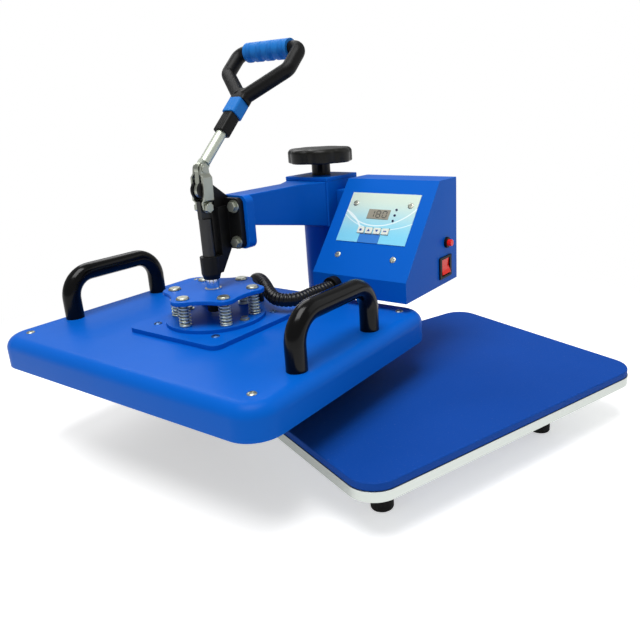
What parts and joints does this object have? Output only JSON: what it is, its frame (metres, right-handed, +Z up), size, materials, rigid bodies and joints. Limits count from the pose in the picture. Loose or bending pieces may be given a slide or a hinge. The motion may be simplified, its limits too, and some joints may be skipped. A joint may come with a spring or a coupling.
{
  "type": "combo heat press",
  "caption": "Swing-away heat press with a toggle lever, sprung heated platen, padded lower platen, round column and sloped control box.",
  "frame": {"origin": "middle of the object's bounding box on the bench, under the feet, with the arm stored swung out to the operator's left", "axes": "+Z up, +X to the operator's right along the long side of the lower platen, +Y from the operator towards the column"},
  "size_m": [0.5761, 0.4971, 0.4337],
  "materials": {
    "left_rail": "gloss blue paint",
    "right_rail": "gloss blue paint",
    "crossbars": "gloss blue paint",
    "rubber_feet": "matte",
    "lower_platen": "satin",
    "silicone_pad": "matte royal blue silicone",
    "base_plate": "gloss blue paint",
    "frame_bolts": "zinc",
    "column_post": "gloss blue paint",
    "post_liner": "plain bush",
    "pressure_knob": "black",
    "lift_screw": "oiled",
    "swing_sleeve": "gloss blue paint",
    "sleeve_cap": "gloss blue paint",
    "arm_beam": "gloss blue paint",
    "arm_bracket": "gloss blue paint",
    "toggle_casting": "black paint",
    "casting_bolts": "zinc",
    "box_bracket": "gloss blue paint",
    "control_box_shell": "gloss blue paint",
    "control_box_back": "gloss blue paint",
    "box_screws": "zinc",
    "panel_overlay": "printed film",
    "display_window": "pale display window",
    "panel_lamps": "dark lens",
    "rocker_housing": "black",
    "breaker": "black",
    "power_inlet": "black",
    "box_gland": "black",
    "control_board": "circuit board and transformer",
    "heater_hose": "black corrugated",
    "lever_crank": "black",
    "lever_rod": "zinc",
    "grip_socket": "black",
    "grip_ring": "blue",
    "grip_fork": "black",
    "grip_bar": "blue rubber",
    "link_plates": "zinc",
    "link_nuts": "zinc",
    "plunger_shaft": "polished",
    "plunger_head": "black",
    "spider_plate": "gloss blue paint",
    "pressure_core": "black",
    "spring_bolts": "zinc",
    "coil_springs": "zinc",
    "bearing_disc": "gloss blue paint",
    "square_plate": "gloss blue paint",
    "platen_screws": "zinc",
    "platen_cover": "gloss blue paint",
    "insulation": "mineral board",
    "heating_plate": "coated",
    "heating_element": "sheathed",
    "grab_handles": "black gloss",
    "platen_gland": "black",
    "panel_button_1": "pale",
    "panel_button_2": "pale",
    "panel_button_3": "pale",
    "panel_button_4": "pale",
    "rocker_switch": "red",
    "reset_button": "red"
  },
  "bodies": {
    "base": {"left_rail": "left_rail", "right_rail": "right_rail", "crossbars": "crossbars", "rubber_feet": "rubber_feet", "lower_platen": "lower_platen", "silicone_pad": "silicone_pad", "base_plate": "base_plate", "frame_bolts": "frame_bolts", "column_post": "column_post"},
    "lift_carrier": {"post_liner": "post_liner"},
    "knob": {"pressure_knob": "pressure_knob", "lift_screw": "lift_screw"},
    "arm": {"swing_sleeve": "swing_sleeve", "sleeve_cap": "sleeve_cap", "arm_beam": "arm_beam", "arm_bracket": "arm_bracket", "toggle_casting": "toggle_casting", "casting_bolts": "casting_bolts", "box_bracket": "box_bracket", "control_box_shell": "control_box_shell", "control_box_back": "control_box_back", "box_screws": "box_screws", "panel_overlay": "panel_overlay", "display_window": "display_window", "panel_lamps": "panel_lamps", "rocker_housing": "rocker_housing", "breaker": "breaker", "power_inlet": "power_inlet", "box_gland": "box_gland", "control_board": "control_board", "heater_hose": "heater_hose"},
    "lever": {"lever_crank": "lever_crank", "lever_rod": "lever_rod", "grip_socket": "grip_socket", "grip_ring": "grip_ring", "grip_fork": "grip_fork", "grip_bar": "grip_bar"},
    "links": {"link_plates": "link_plates", "link_nuts": "link_nuts"},
    "plunger": {"plunger_shaft": "plunger_shaft", "plunger_head": "plunger_head", "spider_plate": "spider_plate", "pressure_core": "pressure_core"},
    "platen": {"spring_bolts": "spring_bolts", "coil_springs": "coil_springs", "bearing_disc": "bearing_disc", "square_plate": "square_plate", "platen_screws": "platen_screws", "platen_cover": "platen_cover", "insulation": "insulation", "heating_plate": "heating_plate", "heating_element": "heating_element", "grab_handles": "grab_handles", "platen_gland": "platen_gland"},
    "button_1": {"panel_button_1": "panel_button_1"},
    "button_2": {"panel_button_2": "panel_button_2"},
    "button_3": {"panel_button_3": "panel_button_3"},
    "button_4": {"panel_button_4": "panel_button_4"},
    "rocker": {"rocker_switch": "rocker_switch"},
    "reset": {"reset_button": "reset_button"}
  },
  "joints": [
    {"name": "arm_lift", "type": "slide", "parent": "base", "child": "lift_carrier", "axis": [0, 0, 1], "range_m": [0, 0.009]},
    {"name": "knob_turn", "type": "hinge", "parent": "lift_carrier", "child": "knob", "pos_m": [0.0982, 0.10128, 0.3], "axis": [0, 0, 1], "range_deg": [0, 1080]},
    {"name": "arm_swing", "type": "hinge", "parent": "lift_carrier", "child": "arm", "pos_m": [0.0982, 0.10128, 0.24], "axis": [0, 0, 1], "range_deg": [-20, 69]},
    {"name": "handle_swing", "type": "hinge", "parent": "arm", "child": "lever", "pos_m": [-0.09318, 0.02781, 0.281], "axis": [0.3584, -0.9336, 0], "range_deg": [0, 160]},
    {"name": "link_fold", "type": "hinge", "parent": "lever", "child": "links", "pos_m": [-0.0916, 0.02842, 0.3026], "axis": [0.3584, -0.9336, 0], "range_deg": [-144.49, 0]},
    {"name": "plunger_press", "type": "slide", "parent": "arm", "child": "plunger", "axis": [0, 0, -1], "range_m": [0, 0.0401], "deforming": ["heater_hose"]},
    {"name": "platen_float", "type": "slide", "parent": "plunger", "child": "platen", "axis": [0, 0, 1], "range_m": [0, 0.004], "stiffness_N_per_m": 20000, "springref_m": -0.01, "deforming": ["coil_springs"]},
    {"name": "button_1_press", "type": "slide", "parent": "arm", "child": "button_1", "axis": [0.7178, 0.2755, -0.6394], "range_m": [0, 0.0008], "stiffness_N_per_m": 400, "springref_m": -0.0005},
    {"name": "button_2_press", "type": "slide", "parent": "arm", "child": "button_2", "axis": [0.7178, 0.2755, -0.6394], "range_m": [0, 0.0008], "stiffness_N_per_m": 400, "springref_m": -0.0005},
    {"name": "button_3_press", "type": "slide", "parent": "arm", "child": "button_3", "axis": [0.7178, 0.2755, -0.6394], "range_m": [0, 0.0008], "stiffness_N_per_m": 400, "springref_m": -0.0005},
    {"name": "button_4_press", "type": "slide", "parent": "arm", "child": "button_4", "axis": [0.7178, 0.2755, -0.6394], "range_m": [0, 0.0008], "stiffness_N_per_m": 400, "springref_m": -0.0005},
    {"name": "rocker_tilt", "type": "hinge", "parent": "arm", "child": "rocker", "pos_m": [0.16228, -0.05729, 0.168], "axis": [0.9336, 0.3584, 0], "range_deg": [0, 16]},
    {"name": "reset_press", "type": "slide", "parent": "arm", "child": "reset", "axis": [-0.3584, 0.9336, 0], "range_m": [0, 0.002], "stiffness_N_per_m": 500, "springref_m": -0.0005}
  ],
  "couplings": [
    {"joint": "knob_turn", "follows": "arm_lift", "rad_per_m": 2094.4},
    {"joint": "link_fold", "follows": "handle_swing", "ratio": -0.90275},
    {"joint": "plunger_press", "follows": "handle_swing", "m_per_rad": 0.014324}
  ]
}
